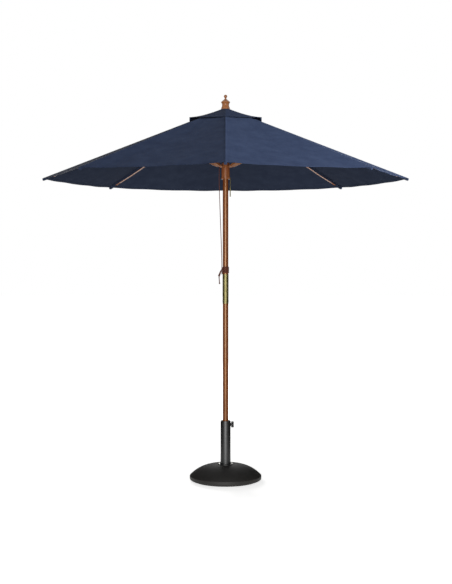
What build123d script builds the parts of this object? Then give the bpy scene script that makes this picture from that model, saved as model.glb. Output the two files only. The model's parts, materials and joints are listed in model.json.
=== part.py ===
from build123d import *
import math
import os

# Patio umbrella with base: a wooden pole in two lengths, a folding frame of eight ribs,
# a vented canopy and a weighted foot. Millimetres, +Z up, origin on the ground under the pole.
# Angles go round +Z from +X, and the first rib points to the front, along -Y.

# Weighted foot
foot_diameter = 492.0
foot_height = 113.0
plinth_inset = 12.0
plinth_height = 9.0
lip_height = 27.0
lip_round = 9.0
lip_edge = 4.0
dome_bulge = 22.0
foot_ring_inset = 16.0
foot_ring_width = 36.0
foot_ring_height = 10.0
foot_ring_groove = 4.0

# Flange and tube that hold the pole
flange_diameter = 104.0
flange_thickness = 4.0
flange_seat_margin = 6.0
tube_diameter = 70.0
tube_wall = 2.5
tube_length = 295.0
tube_rim_round = 0.8
bolt_count = 4
bolt_diameter = 8.0
bolt_length = 45.0
bolt_head_diameter = 13.0
bolt_head_height = 5.5
bolt_head_to_tube = 2.0
adaptor_length = 90.0
adaptor_recess = 4.0
adaptor_mouth = 3.0

# Clamp screw on the tube
clamp_drop = 26.0
screw_diameter = 10.0
screw_point = 1.0
clamp_nut_width = 22.0
clamp_nut_length = 2.5
knob_diameter = 46.0
knob_thickness = 19.0
knob_lobes = 6
knob_lobe_radius = 7.5
knob_round = 3.0
screw_in_knob = 13.0

# Pole
pole_diameter = 38.0
lower_pole_length = 1200.0
upper_pole_length = 1218.0
pole_chamfer = 1.5
ferrule_length = 202.0
ferrule_wall = 1.1
nail_diameter = 3.0
nail_length = 12.0
nail_head_diameter = 6.0
nail_head_height = 1.4
nail_from_rim = 18.0
lock_pin_diameter = 7.0
lock_hole_drop = 20.0

# Ribs, struts and the two slotted hubs they pivot in
rib_count = 8
canopy_diameter = 2500.0
rib_slope = 21.0
rib_width = 14.0
rib_depth = 20.0
rib_tip_depth = 12.0
rib_tip_taper = 260.0
rib_root_taper = 120.0
rib_to_hem = 7.0
strut_length = 480.0
strut_width = 11.0
strut_depth = 14.0
tongue_width = 8.0
tongue_depth = 7.0
tongue_length = 30.0
hub_wall = 1.2
hub_roof = 3.0
hub_below_pole_top = 1.0
hub_wire_diameter = 2.4
runner_skirt = 80.0
runner_ring_height = 15.0
runner_ring_proud = 2.0
runner_round = 1.5

# Clevis that carries a strut under its rib
clevis_plate = 1.5
clevis_length = 40.0
strut_pin_diameter = 4.0
strut_pin_head = 1.2

# Cover
cloth_thickness = 0.7
canopy_sag = 16.0
hem_droop = 11.0
vent_radius = 150.0
cap_radius = 246.0
cap_collar_radius = 20.0
cap_arch = 27.0

# Finial
finial_foot_radius = 30.0
finial_foot_rise = 4.0
finial_ring_radius = 27.5
finial_ring_height = 14.0
finial_waist_radius = 24.0
finial_waist_height = 27.0
finial_cup_radius = 31.0
finial_cup_height = 46.0
finial_cup_edge = 3.0
finial_neck_radius = 6.0
finial_neck_height = 77.0
finial_cap_rise = 21.0
finial_ball_radius = 11.5
finial_boss_radius = 17.0
finial_boss_height = 6.0
finial_stud_diameter = 8.0
finial_stud_length = 28.0

# Pull cord and its sheave
cord_diameter = 5.0
sheave_drop = 80.0
sheave_thickness = 8.0
sheave_rim = 1.7
sheave_axle_diameter = 6.0
cord_side = -157.5
cord_bow = 26.2
cord_bow_below_pivot = 16.0
cord_bow_length = 130.0
cord_straight = 40.0
cord_bend_share = 0.45
cord_bow_lean = 1.4
winding_turns = 8
winding_pitch = 5.6
winding_above_ferrule = 6.0
winding_samples = 2000
lead_rise = 15.0
lead_turn_in = 60.0
lead_low = 4.0
tail_run_out = 14.0
tail_steps = [
    (-24.0, -0.6, -8.0),
    (-29.5, -0.9, -22.0),
]
knot_diameter = 15.0
knot_length = 50.0
knot_neck_diameter = 11.0
knot_neck_length = 7.0
knot_shoulder = 2.0
tail_end = (4.0, 0.0, -50.0)
tail_bead_diameter = 7.5

# Locking pin on its chain
chain_side = -22.5
link_wire = 1.6
link_width = 7.0
link_length = 13.0
link_count = 6
eyelet_reach = 4.0
lock_pin_length = 62.0
lock_pin_eye = 9.0

# Clearances
slide_gap = 0.5
slot_gap = 0.5
fold_gap = 1.5
shoulder_gap = 4.0
fit_gap = 0.15
seat_gap = 0.3
canopy_gap = 2.2
cap_gap = 3.5
panel_gap = 0.3
link_gap = 0.25

# Values that follow from the sizes above
pole_radius = pole_diameter / 2
tube_radius = tube_diameter / 2
tube_bore = tube_radius - tube_wall
foot_bottom = foot_ring_height - foot_ring_groove
pole_bottom = foot_height + flange_thickness
tube_top = pole_bottom + tube_length
pole_joint = pole_bottom + lower_pole_length
pole_top = pole_joint + upper_pole_length
ferrule_bottom = pole_joint - ferrule_length / 2
ferrule_top = pole_joint + ferrule_length / 2
ferrule_bore = pole_radius + 2 * fit_gap
ferrule_radius = ferrule_bore + ferrule_wall
bolt_circle_radius = tube_radius + bolt_head_to_tube + bolt_head_diameter / 2

pitch_angle = 360.0 / rib_count
half_pitch = math.radians(pitch_angle / 2)
slope = math.radians(rib_slope)
pivot_radius = pole_radius + slide_gap + hub_wall + slot_gap + tongue_depth / 2
hub_radius = pivot_radius + tongue_depth / 2
hub_top = pole_top - hub_below_pole_top
hub_pivot = hub_top - hub_roof - slot_gap - tongue_depth / 2
crown_height = tongue_length - shoulder_gap
strut_drop = rib_depth / 2 + clevis_plate + fold_gap + strut_depth / 2
strut_station = math.sqrt(strut_length**2 - strut_drop**2)
strut_rise = slope + math.asin(strut_drop / strut_length)
runner_pivot = hub_pivot - 2 * strut_length * math.sin(strut_rise)
runner_top = runner_pivot + crown_height
runner_bottom = runner_pivot - runner_skirt
canopy_radius = canopy_diameter / 2
rib_reach = (canopy_radius - rib_to_hem - pivot_radius) / math.cos(slope)
wire_hole = hub_wire_diameter / 2 + tongue_width**2 / (8 * pivot_radius) + seat_gap

cord_radius = cord_diameter / 2
cord_on_pole = pole_radius + cord_radius + seat_gap
sheave_height = pole_top - sheave_drop
sheave_radius = cord_on_pole + sheave_rim
winding_bottom = ferrule_top + winding_above_ferrule
finial_base = pole_top + finial_boss_height


def rib_angle(number):
    """Direction of a rib, the first at the front."""
    return -90.0 + pitch_angle * (number - 1)


def around(solid, angle):
    """A solid drawn along +X, turned to its direction round the pole."""
    return Rot(0, 0, angle) * solid


def rod(radius, start, end):
    """Round bar between two points."""
    start = Vector(start)
    run = Vector(end) - start
    return extrude(Plane(start, z_dir=run) * Circle(radius), run.length)


def ring(outer, inner, bottom, top):
    """Round tube along the pole."""
    return Pos(0, 0, bottom) * extrude(Circle(outer) - Circle(inner), top - bottom)


def column(radius, bottom, top):
    """Round bar along the pole."""
    return Pos(0, 0, bottom) * extrude(Circle(radius), top - bottom)


def side_plate(outline, width):
    """Plate drawn from the side, in X and Z, and given its width across Y."""
    return extrude(Plane.XZ * outline, width / 2, both=True)


def save(name, *solids):
    """One node: its solids go into one file with the node's name."""
    shape = solids[0] if len(solids) == 1 else Compound(children=list(solids))
    export_step(shape, f"parts/{name}.step")


os.makedirs("parts", exist_ok=True)


# Weighted foot: a cast dome with a lip over a recessed plinth, on a rubber ring
def foot_weight():
    rim = foot_diameter / 2
    plinth = rim - plinth_inset
    lip_top = plinth_height + lip_height
    seat = flange_diameter / 2 + flange_seat_margin
    outline = Polyline(
        (0, foot_height),
        (0, foot_bottom),
        (plinth, foot_bottom),
        (plinth, plinth_height),
        (rim, plinth_height),
        (rim, lip_top),
    )
    outline += SagittaArc((rim, lip_top), (seat, foot_height), -dome_bulge)
    outline += Line((seat, foot_height), (0, foot_height))
    dome = revolve(Plane.XZ * make_face(outline), Axis.Z)
    for place, radius in ((-1, lip_edge), (0, lip_round)):
        rims = dome.edges().filter_by(GeomType.CIRCLE)
        rims = rims.filter_by(lambda edge: abs(edge.radius - rim) < seat_gap)
        dome = fillet(rims.sort_by(Axis.Z)[place], radius)
    outer = plinth - foot_ring_inset + seat_gap
    inner = plinth - foot_ring_inset - foot_ring_width - seat_gap
    dome -= ring(outer, inner, 0, foot_ring_height)
    for bolt in range(bolt_count):
        hole = rod(
            bolt_diameter / 2 + seat_gap,
            (bolt_circle_radius, 0, foot_height - bolt_length - seat_gap),
            (bolt_circle_radius, 0, foot_height),
        )
        dome -= around(hole, 360.0 * bolt / bolt_count)
    return dome


def foot_ring():
    outer = foot_diameter / 2 - plinth_inset - foot_ring_inset
    return ring(outer, outer - foot_ring_width, 0, foot_ring_height)


# Flange plate bolted to the foot, with the tube welded on it
def tube_flange():
    plate = Pos(0, 0, foot_height) * extrude(Circle(flange_diameter / 2), flange_thickness)
    for bolt in range(bolt_count):
        hole = rod(
            bolt_diameter / 2 + seat_gap,
            (bolt_circle_radius, 0, foot_height),
            (bolt_circle_radius, 0, pole_bottom),
        )
        plate -= around(hole, 360.0 * bolt / bolt_count)
    return plate


def flange_bolts():
    head = Pos(0, 0, pole_bottom) * extrude(RegularPolygon(bolt_head_diameter / 2, 6), bolt_head_height)
    crown = Pos(0, 0, pole_bottom + bolt_head_height - bolt_head_diameter) * Sphere(bolt_head_diameter)
    shank = rod(bolt_diameter / 2, (0, 0, foot_height - bolt_length), (0, 0, pole_bottom))
    bolt = Pos(bolt_circle_radius, 0, 0) * ((head & crown) + shank)
    return [around(bolt, 360.0 * number / bolt_count) for number in range(bolt_count)]


clamp_height = tube_top - clamp_drop


def clamp_hole(radius):
    """Way of the clamp screw, from the pole out through the tube."""
    return rod(radius, (pole_radius, 0, clamp_height), (tube_radius + clamp_nut_length, 0, clamp_height))


def base_tube():
    tube = ring(tube_radius, tube_bore, pole_bottom, tube_top)
    tube = fillet(tube.edges().group_by(Axis.Z)[-1], tube_rim_round)
    return tube - clamp_hole(screw_diameter / 2 + seat_gap)


def pole_adaptor():
    top = tube_top - adaptor_recess
    sleeve = ring(tube_bore - fit_gap, pole_radius + slide_gap, top - adaptor_length, top)
    mouth = sleeve.edges().group_by(Axis.Z)[-1].sort_by(SortBy.RADIUS)[0]
    sleeve = chamfer(mouth, adaptor_mouth)
    return sleeve - clamp_hole(screw_diameter / 2 + seat_gap)


def clamp_nut():
    block = Plane.YZ * RegularPolygon(clamp_nut_width / 2, 6, major_radius=False)
    nut = Pos(0, 0, clamp_height) * extrude(block, tube_radius + clamp_nut_length)
    nut -= column(tube_radius, pole_bottom, tube_top)
    return nut - clamp_hole(screw_diameter / 2 + seat_gap)


knob_face = tube_radius + clamp_nut_length + slide_gap


def clamp_knob():
    lobe_centre = knob_diameter / 2 - knob_lobe_radius
    outline = Circle(lobe_centre)
    outline += PolarLocations(lobe_centre, knob_lobes) * Circle(knob_lobe_radius)
    knob = Pos(knob_face, 0, clamp_height) * extrude(Plane.YZ * outline, knob_thickness)
    knob = fillet(knob.edges().group_by(Axis.X)[-1], knob_round)
    socket = rod(
        screw_diameter / 2 + fit_gap,
        (knob_face, 0, clamp_height),
        (knob_face + screw_in_knob + fit_gap, 0, clamp_height),
    )
    return knob - socket


def clamp_screw():
    tip = pole_radius + seat_gap
    screw = rod(screw_diameter / 2, (tip, 0, clamp_height), (knob_face + screw_in_knob, 0, clamp_height))
    return chamfer(screw.edges().group_by(Axis.X)[0], screw_point)


# Pole in two lengths, joined in a brass ferrule that is nailed to the lower one
nail_height = ferrule_bottom + nail_from_rim


def nail_hole():
    reach = (ferrule_radius + nail_head_height, 0, nail_height)
    hole = rod(nail_diameter / 2 + fit_gap, (ferrule_radius - nail_length - fit_gap, 0, nail_height), reach)
    return hole + around(hole, 180)


def lower_pole():
    pole = column(pole_radius, pole_bottom, pole_joint)
    pole = chamfer(pole.edges().group_by(Axis.Z)[0], pole_chamfer)
    return pole - nail_hole()


def ferrule():
    return ring(ferrule_radius, ferrule_bore, ferrule_bottom, ferrule_top) - nail_hole()


def ferrule_nails():
    shank = rod(
        nail_diameter / 2,
        (ferrule_radius - nail_length, 0, nail_height),
        (ferrule_radius, 0, nail_height),
    )
    head = rod(
        nail_head_diameter / 2,
        (ferrule_radius, 0, nail_height),
        (ferrule_radius + nail_head_height, 0, nail_height),
    )
    head = fillet(head.edges().group_by(Axis.X)[-1], nail_head_height / 2)
    nail = head + shank
    return nail, around(nail, 180)


lock_hole_height = runner_bottom - lock_hole_drop


def upper_pole():
    pole = column(pole_radius, pole_joint, pole_top)
    slot_height = 2 * (sheave_radius + fold_gap)
    slot = Box(pole_diameter + cord_diameter, sheave_thickness + 2 * slot_gap, slot_height)
    axle_hole = Rot(90, 0, 0) * Cylinder(sheave_axle_diameter / 2 + fit_gap, pole_diameter)
    pole -= around(Pos(0, 0, sheave_height) * (slot + axle_hole), cord_side)
    pole -= rod(
        lock_pin_diameter / 2 + seat_gap,
        (-pole_diameter, 0, lock_hole_height),
        (pole_diameter, 0, lock_hole_height),
    )
    stud_end = pole_top - finial_stud_length - fit_gap
    return pole - column(finial_stud_diameter / 2 + fit_gap, stud_end, pole_top)


# Slotted hubs: the crown on the pole and the runner that slides below it
def hub_slots(low, high):
    """Slots for the tongues, open outwards, between two heights."""
    depth = pole_radius + slide_gap + hub_wall
    slot = Pos(depth, 0, low) * Box(
        hub_radius,
        tongue_width + 2 * slot_gap,
        high - low,
        align=(Align.MIN, Align.CENTER, Align.MIN),
    )
    return [around(slot, rib_angle(number)) for number in range(1, rib_count + 1)]


def wire_groove(height):
    return Pos(0, 0, height) * Torus(pivot_radius, hub_wire_diameter / 2 + fit_gap)


def hub_wire(height):
    return Pos(0, 0, height) * Torus(pivot_radius, hub_wire_diameter / 2)


def top_hub():
    bottom = hub_pivot - crown_height
    hub = ring(hub_radius, pole_radius + fit_gap, bottom, hub_top)
    for slot in hub_slots(bottom, hub_top - hub_roof):
        hub -= slot
    return hub - wire_groove(hub_pivot)


def runner():
    body = column(hub_radius, runner_bottom, runner_top)
    foot = column(hub_radius + runner_ring_proud, runner_bottom, runner_bottom + runner_ring_height)
    foot = fillet(foot.edges(), runner_round)
    hub = body + foot - column(pole_radius + slide_gap, runner_bottom, runner_top)
    for slot in hub_slots(runner_pivot - tongue_depth / 2 - slot_gap, runner_top):
        hub -= slot
    hub -= eyelet_hole()
    return hub - wire_groove(runner_pivot)


# Ribs, their clevises and struts, each drawn along +X from its inner pivot
def tongue():
    outline = Circle(tongue_depth / 2)
    outline += Pos(tongue_length / 2, 0) * Rectangle(tongue_length, tongue_depth)
    return side_plate(outline, tongue_width) - Rot(90, 0, 0) * Cylinder(wire_hole, tongue_width)


def rib_bar():
    half = rib_depth / 2
    outline = Polyline(
        (tongue_length, half),
        (tongue_length, -tongue_depth / 2),
        (tongue_length + rib_root_taper, -half),
        (rib_reach - rib_tip_taper, -half),
        (rib_reach, half - rib_tip_depth),
        (rib_reach, half),
        close=True,
    )
    return side_plate(make_face(outline), rib_width) + tongue()


def rib_frame(shape):
    """A shape drawn along the rib, brought to the slope of the open frame."""
    return Pos(pivot_radius, 0, hub_pivot) * Rot(0, rib_slope, 0) * shape


def clevis():
    top = -rib_depth / 2
    inner = strut_width / 2 + slot_gap
    outer = inner + clevis_plate
    base = Pos(strut_station, 0, top - clevis_plate / 2) * Box(clevis_length, 2 * outer, clevis_plate)
    eye = Pos(strut_station, -strut_drop) * Circle(strut_depth / 2)
    foot = Pos(strut_station, top - clevis_plate / 2) * Rectangle(clevis_length, clevis_plate)
    cheek = make_hull((eye + foot).edges())
    cheeks = side_plate(cheek, 2 * outer) - side_plate(cheek, 2 * inner)
    pin_hole = Rot(90, 0, 0) * Cylinder(strut_pin_diameter / 2 + fit_gap, 4 * outer)
    return base + cheeks - Pos(strut_station, 0, -strut_drop) * pin_hole


def strut_pin():
    reach = strut_width / 2 + slot_gap + clevis_plate + strut_pin_head
    shank = Cylinder(strut_pin_diameter / 2, 2 * reach)
    head = Cylinder(strut_pin_diameter / 2 + strut_pin_head, strut_pin_head)
    offset = reach - strut_pin_head / 2 + fit_gap
    pin = shank + Pos(0, 0, offset) * head + Pos(0, 0, -offset) * head
    return Pos(strut_station, 0, -strut_drop) * Rot(90, 0, 0) * pin


def strut_bar():
    half = strut_depth / 2
    inner = tongue_depth / 2
    outline = Polyline(
        (tongue_length, inner),
        (tongue_length, inner - strut_depth),
        (strut_length, -half),
        (strut_length, half),
        close=True,
    )
    bar = side_plate(make_face(outline) + Pos(strut_length, 0) * Circle(half), strut_width) + tongue()
    pin_hole = Rot(90, 0, 0) * Cylinder(strut_pin_diameter / 2 + fit_gap, 2 * strut_width)
    bar -= Pos(strut_length, 0, 0) * pin_hole
    return Pos(pivot_radius, 0, runner_pivot) * Rot(0, -math.degrees(strut_rise), 0) * bar


# Cover: eight panels of cloth, each from mid gore to mid gore over its rib, and a vent cap above
def ridge_height(radius):
    """Height of the cloth's underside over a rib."""
    over_rib = (rib_depth / 2 + canopy_gap) / math.cos(slope)
    return hub_pivot + over_rib - (radius - pivot_radius) * math.tan(slope)


def gore_middle(radius, height):
    """Point on the middle of the gore beside a rib that runs along +X."""
    return Vector(
        radius * math.cos(half_pitch) ** 2 + panel_gap * math.sin(half_pitch),
        radius * math.cos(half_pitch) * math.sin(half_pitch) - panel_gap * math.cos(half_pitch),
        height,
    )


def canopy_panel():
    vent = ridge_height(vent_radius)
    tip = ridge_height(canopy_radius)
    ridge = Line((vent_radius, 0, vent), (canopy_radius, 0, tip))
    start = gore_middle(vent_radius, vent)
    end = gore_middle(canopy_radius, tip - hem_droop)
    hollow = (start + end) / 2 - Vector(0, 0, canopy_sag)
    half = Face.make_surface_from_curves(ridge.edge(), ThreePointArc(start, hollow, end).edge())
    half = Solid.extrude(half, (0, 0, cloth_thickness))
    return half + mirror(half, about=Plane.XZ)


def on_rib(number, radius, height):
    """Point over the line of a rib."""
    angle = math.radians(rib_angle(number))
    return Vector(radius * math.cos(angle), radius * math.sin(angle), height)


def vent_cap():
    collar = finial_base - cloth_thickness - fit_gap
    corner = ridge_height(cap_radius) + cloth_thickness + cap_gap
    cap = None
    for number in range(1, rib_count + 1):
        inner = [on_rib(end, cap_collar_radius, collar) for end in (number, number + 1)]
        outer = [on_rib(end, cap_radius, corner) for end in (number, number + 1)]
        top = (outer[0] + outer[1]) / 2 + Vector(0, 0, cap_arch)
        hem = ThreePointArc(outer[0], top, outer[1])
        gore = Face.make_surface_from_curves(Line(*inner).edge(), hem.edge())
        gore = Solid.extrude(gore, (0, 0, cloth_thickness))
        cap = gore if cap is None else cap + gore
    return cap


# Turned finial with its stud
def finial():
    base = finial_base
    ball = base + finial_neck_height + math.sqrt(finial_ball_radius**2 - finial_neck_radius**2)
    neck = (finial_neck_radius, base + finial_neck_height)
    cup_top = base + finial_cup_height + finial_cup_edge
    stud = finial_stud_diameter / 2
    outline = Polyline(
        (0, pole_top - finial_stud_length),
        (stud, pole_top - finial_stud_length),
        (stud, pole_top),
        (finial_boss_radius, pole_top),
        (finial_boss_radius, base),
        (finial_foot_radius, base),
        (finial_foot_radius, base + finial_foot_rise),
        (finial_ring_radius, base + finial_ring_height),
    )
    outline += ThreePointArc(
        (finial_ring_radius, base + finial_ring_height),
        (finial_waist_radius, base + finial_waist_height),
        (finial_cup_radius, base + finial_cup_height),
    )
    outline += Line((finial_cup_radius, base + finial_cup_height), (finial_cup_radius, cup_top))
    outline += Polyline((finial_cup_radius, cup_top), (finial_neck_radius, cup_top + finial_cap_rise), neck)
    outline += ThreePointArc(neck, (finial_ball_radius, ball), (0, ball + finial_ball_radius))
    outline += Line((0, ball + finial_ball_radius), (0, pole_top - finial_stud_length))
    return revolve(Plane.XZ * make_face(outline), Axis.Z)


# Sheave in the pole's slot, on its axle
def sheave():
    half = sheave_thickness / 2
    outline = Polyline(
        (sheave_axle_diameter / 2 + fit_gap, -half),
        (sheave_radius, -half),
        (sheave_radius, half),
        (sheave_axle_diameter / 2 + fit_gap, half),
        close=True,
    )
    groove = cord_radius + seat_gap
    wheel = revolve(Plane.XZ * make_face(outline), Axis.Z) - Torus(cord_on_pole, groove)
    wheel -= ring(sheave_radius + sheave_rim, cord_on_pole, -groove, groove)
    return around(Pos(0, 0, sheave_height) * Rot(90, 0, 0) * wheel, cord_side)


def sheave_axle():
    axle = Rot(90, 0, 0) * Cylinder(sheave_axle_diameter / 2, 2 * (pole_radius - pole_chamfer))
    return around(Pos(0, 0, sheave_height) * axle, cord_side)


# Pull cord: over the sheave, down beside the runner and wound on the pole above the ferrule
def corner_radii(points):
    """Largest arcs that the runs of a route leave room for."""
    radii = []
    for before, here, after in zip(points, points[1:], points[2:]):
        shorter = min((here - before).length, (after - here).length)
        turn = math.radians((here - before).get_angle(after - here))
        radii.append(cord_bend_share * shorter / math.tan(turn / 2))
    return radii


def swept_cord(path, name):
    """Round cord along a path, with its volume set against section times length."""
    start = Plane(path @ 0, z_dir=path % 0)
    cord = sweep(start * Circle(cord_radius), path=path)
    ratio = cord.volume / (math.pi * cord_radius**2 * path.length)
    print(f"{name}: length {path.length:.1f} mm, volume over section times length {ratio:.4f}")
    return cord


def in_cord_plane(reach, height):
    """Point in the upright plane of the sheave."""
    side = math.radians(cord_side)
    return Vector(reach * math.cos(side), reach * math.sin(side), height)


winding_top = winding_bottom + winding_turns * winding_pitch
lead_reach = cord_on_pole + cord_diameter + slot_gap
lead_top = winding_top + lead_rise


def pull_cord():
    lift_end = in_cord_plane(-cord_on_pole, runner_top + seat_gap)
    lift_top = in_cord_plane(-cord_on_pole, sheave_height)
    over = in_cord_plane(0, sheave_height + cord_on_pole)
    bow_top = runner_pivot - cord_bow_below_pivot
    fall_top = in_cord_plane(cord_on_pole, sheave_height)
    route = [
        fall_top,
        in_cord_plane(cord_on_pole, sheave_height - cord_straight),
        in_cord_plane(cord_on_pole + cord_bow, bow_top),
        in_cord_plane(cord_on_pole + cord_bow - cord_bow_lean, bow_top - cord_bow_length),
        in_cord_plane(lead_reach, lead_top + cord_straight),
        in_cord_plane(lead_reach, lead_top),
    ]
    radii = corner_radii(route)
    print("pull_cord radii:", [round(radius) for radius in radii])
    rise = [Line(lift_end, lift_top).edge(), ThreePointArc(lift_top, over, fall_top).edge()]
    fall = FilletPolyline(*route, radius=radii)
    return swept_cord(Wire(rise + fall.edges()), "pull_cord")


def biarc(start, leave, end, arrive):
    """Two arcs that meet smoothly, from one point and direction to another."""
    chord = end - start
    both = leave + arrive
    square = 2 - 2 * leave.dot(arrive)
    linear = 2 * chord.dot(both)
    reach = (-linear + math.sqrt(linear**2 + 4 * square * chord.dot(chord))) / (2 * square)
    first = start + leave * reach
    second = end - arrive * reach
    joint = (first + second) / 2
    return [
        TangentArc(start, joint, tangent=leave).edge(),
        TangentArc(joint, end, tangent=second - first).edge(),
    ]


def winding_point(turned):
    """Point and direction on the winding, which goes round clockwise and up."""
    angle = math.radians(cord_side - lead_turn_in) - turned
    rise = winding_pitch / (2 * math.pi)
    x = cord_on_pole * math.cos(angle)
    y = cord_on_pole * math.sin(angle)
    return Vector(x, y, winding_bottom + rise * turned), Vector(y, -x, rise).normalized()


winding_total = math.radians(winding_turns * 360.0 + cord_side - lead_turn_in + 90.0)


def cord_winding():
    """The cord goes down outside its own turns, then round the pole from the lowest turn up."""
    top = in_cord_plane(lead_reach, lead_top)
    low = in_cord_plane(lead_reach, winding_bottom + lead_low)
    steps = 2 * winding_turns
    stops = [winding_point(winding_total * step / steps) for step in range(steps + 1)]
    edges = [Line(top, low).edge()] + biarc(low, (low - top).normalized(), *stops[0])
    for here, after in zip(stops, stops[1:]):
        edges += biarc(*here, *after)
    path = Wire(edges)
    places = [path.position_at(step / winding_samples) for step in range(winding_samples + 1)]
    apart = int(winding_samples * 2 * cord_on_pole / path.length)
    gaps = [
        (one - other).length
        for number, one in enumerate(places)
        for other in places[number + apart :]
    ]
    print(f"cord_winding: least gap to itself {min(gaps) - cord_diameter:.2f} mm")
    return swept_cord(path, "cord_winding")


def tail_route():
    """Loose end that leaves the front of the winding to the left and hangs down to its knot."""
    start, way = winding_point(winding_total)
    return [start, start + way * tail_run_out] + [start + Vector(step) for step in tail_steps]


def cord_tail():
    route = tail_route()
    radii = corner_radii(route)
    print("cord_tail radii:", [round(radius) for radius in radii])
    path = FilletPolyline(*route, radius=radii)
    return swept_cord(Wire(path.edges()), "cord_tail")


def cord_knot():
    """Long wrapped knot on the tail, with the cord's end and its bead below it."""
    route = tail_route()
    top = route[-1]
    way = (top - route[-2]).normalized()
    ball = knot_diameter / 2
    middle = knot_length - ball
    shoulder = math.sqrt(ball**2 - knot_shoulder**2)
    turn = math.radians(45.0)
    outline = Polyline(
        (0, 0),
        (cord_radius, 0),
        (knot_neck_diameter / 2, knot_neck_length),
        (shoulder, middle - knot_shoulder),
    )
    outline += ThreePointArc(
        (shoulder, middle - knot_shoulder),
        (ball * math.cos(turn), middle + ball * math.sin(turn)),
        (0, knot_length),
    )
    outline += Line((0, knot_length), (0, 0))
    knot = Plane(top, z_dir=way) * revolve(Plane.XZ * make_face(outline), Axis.Z)
    centre = top + way * middle
    end = centre + Vector(tail_end)
    return knot + rod(cord_radius, centre, end) + Pos(*end) * Sphere(tail_bead_diameter / 2)


# Locking pin, hung on a chain from the runner's foot ring
eyelet_height = runner_bottom + runner_ring_height / 2
eyelet_radius = hub_radius + runner_ring_proud + eyelet_reach


def eyelet_hole():
    start = (hub_radius - eyelet_reach, 0, eyelet_height)
    hole = rod(link_wire / 2 + fit_gap, start, (eyelet_radius, 0, eyelet_height))
    return around(hole, chain_side)


def chain_link():
    """Long link of round wire, upright in the X and Z plane, centred on the origin."""
    bend = (link_width - link_wire) / 2
    half = (link_length - link_width) / 2
    end = Pos(0, 0, half) * revolve(Pos(bend, 0) * Circle(link_wire / 2), Axis.Y, -180)
    side = Cylinder(link_wire / 2, 2 * half)
    return end + mirror(end, about=Plane.XY) + Pos(bend, 0, 0) * side + Pos(-bend, 0, 0) * side


def chain_eyelet():
    bend = (link_width - link_wire) / 2
    start = (hub_radius - eyelet_reach, 0, eyelet_height)
    shank = rod(link_wire / 2, start, (eyelet_radius - bend, 0, eyelet_height))
    eye = Pos(eyelet_radius, 0, eyelet_height) * Rot(90, 0, 0) * Torus(bend, link_wire / 2)
    return around(shank + eye, chain_side)


link_step = link_length - 2 * link_wire - link_gap
first_link = eyelet_height - (link_width - link_wire) / 2 - link_step / 2 + link_wire / 2


def link_turn(number):
    """Each link stands square to the one it hangs in."""
    return 90.0 if number % 2 == 0 else 0.0


def pin_chain():
    links = []
    for number in range(link_count):
        place = Pos(eyelet_radius, 0, first_link - number * link_step)
        link = place * Rot(0, 0, link_turn(number)) * chain_link()
        links.append(around(link, chain_side))
    return links


def lock_pin():
    last = first_link - (link_count - 1) * link_step
    bend = (lock_pin_eye - link_wire) / 2
    eye_height = last - link_length / 2 + link_wire + link_gap + link_wire / 2 - bend
    eye = Rot(0, 0, link_turn(link_count)) * Rot(90, 0, 0) * Torus(bend, link_wire / 2)
    eye = Pos(eyelet_radius, 0, eye_height) * eye
    top = eye_height - bend
    pin = rod(lock_pin_diameter / 2, (eyelet_radius, 0, top), (eyelet_radius, 0, top - lock_pin_length))
    pin = fillet(pin.edges(), lock_pin_diameter / 4)
    return around(pin + eye, chain_side)


# Write every node
save("foot_weight", foot_weight())
save("foot_ring", foot_ring())
save("tube_flange", tube_flange())
save("flange_bolts", *flange_bolts())
save("base_tube", base_tube())
save("pole_adaptor", pole_adaptor())
save("clamp_nut", clamp_nut())
save("clamp_knob", clamp_knob())
save("clamp_screw", clamp_screw())
save("lower_pole", lower_pole())
save("ferrule", ferrule())
save("ferrule_nails", *ferrule_nails())
save("upper_pole", upper_pole())
save("top_hub", top_hub())
save("top_hub_wire", hub_wire(hub_pivot))
save("finial", finial())
save("sheave", sheave())
save("sheave_axle", sheave_axle())
save("runner", runner())
save("runner_wire", hub_wire(runner_pivot))
save("chain_eyelet", chain_eyelet())
save("pin_chain", *pin_chain())
save("lock_pin", lock_pin())
save("vent_cap", vent_cap())
save("pull_cord", pull_cord())
save("cord_winding", cord_winding())
save("cord_tail", cord_tail())
save("cord_knot", cord_knot())
shapes = {"rib": rib_frame(rib_bar()), "strut": strut_bar(), "canopy_panel": canopy_panel()}
clevis_shapes = [rib_frame(clevis()), rib_frame(strut_pin())]
for number in range(1, rib_count + 1):
    for name, shape in shapes.items():
        save(f"{name}_{number}", around(shape, rib_angle(number)))
    save(f"clevis_{number}", *[around(shape, rib_angle(number)) for shape in clevis_shapes])
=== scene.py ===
# %% [markdown]
# # A wooden patio umbrella on a weighted foot
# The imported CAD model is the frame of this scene: every hard piece is already in its place, in metres,
# and only gets its finish here. The soft pieces, which are the cloth and the cord, are modelled new, laid
# where their CAD solids lie, and tied to the bodies that carry them, so that they follow when the umbrella
# folds.

# %% Load the frame
import json
import math

import bmesh
import bpy
from mathutils import Matrix, Vector

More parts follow.
